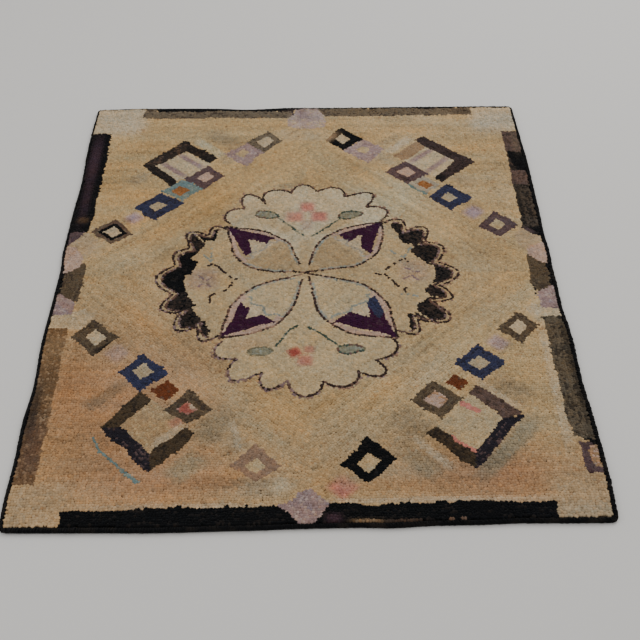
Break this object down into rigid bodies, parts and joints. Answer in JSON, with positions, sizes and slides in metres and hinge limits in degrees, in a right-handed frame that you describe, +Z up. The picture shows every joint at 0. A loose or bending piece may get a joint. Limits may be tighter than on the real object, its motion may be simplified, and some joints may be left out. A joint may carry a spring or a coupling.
{
  "type": "hooked wool rug",
  "caption": "Flat rectangular hooked wool rug with a medallion, diamond chains and corner brackets in looped pile, and a whipped edge of black yarn on all sides.",
  "frame": {"origin": "on the resting surface under the middle of the rug", "axes": "+X across the rug, +Y along its length towards the far end, +Z up out of the pile"},
  "size_m": [0.9769, 1.197, 0.0094],
  "materials": {
    "wool_pile": "matt looped wool",
    "edge_yarn": "matt black wool yarn",
    "ground_cloth": "plain woven jute"
  },
  "bodies": {
    "root": {"rug_ground": "wool_pile", "binding_left": "edge_yarn", "binding_right": "edge_yarn", "binding_near": "edge_yarn", "binding_far": "edge_yarn"}
  },
  "joints": []
}
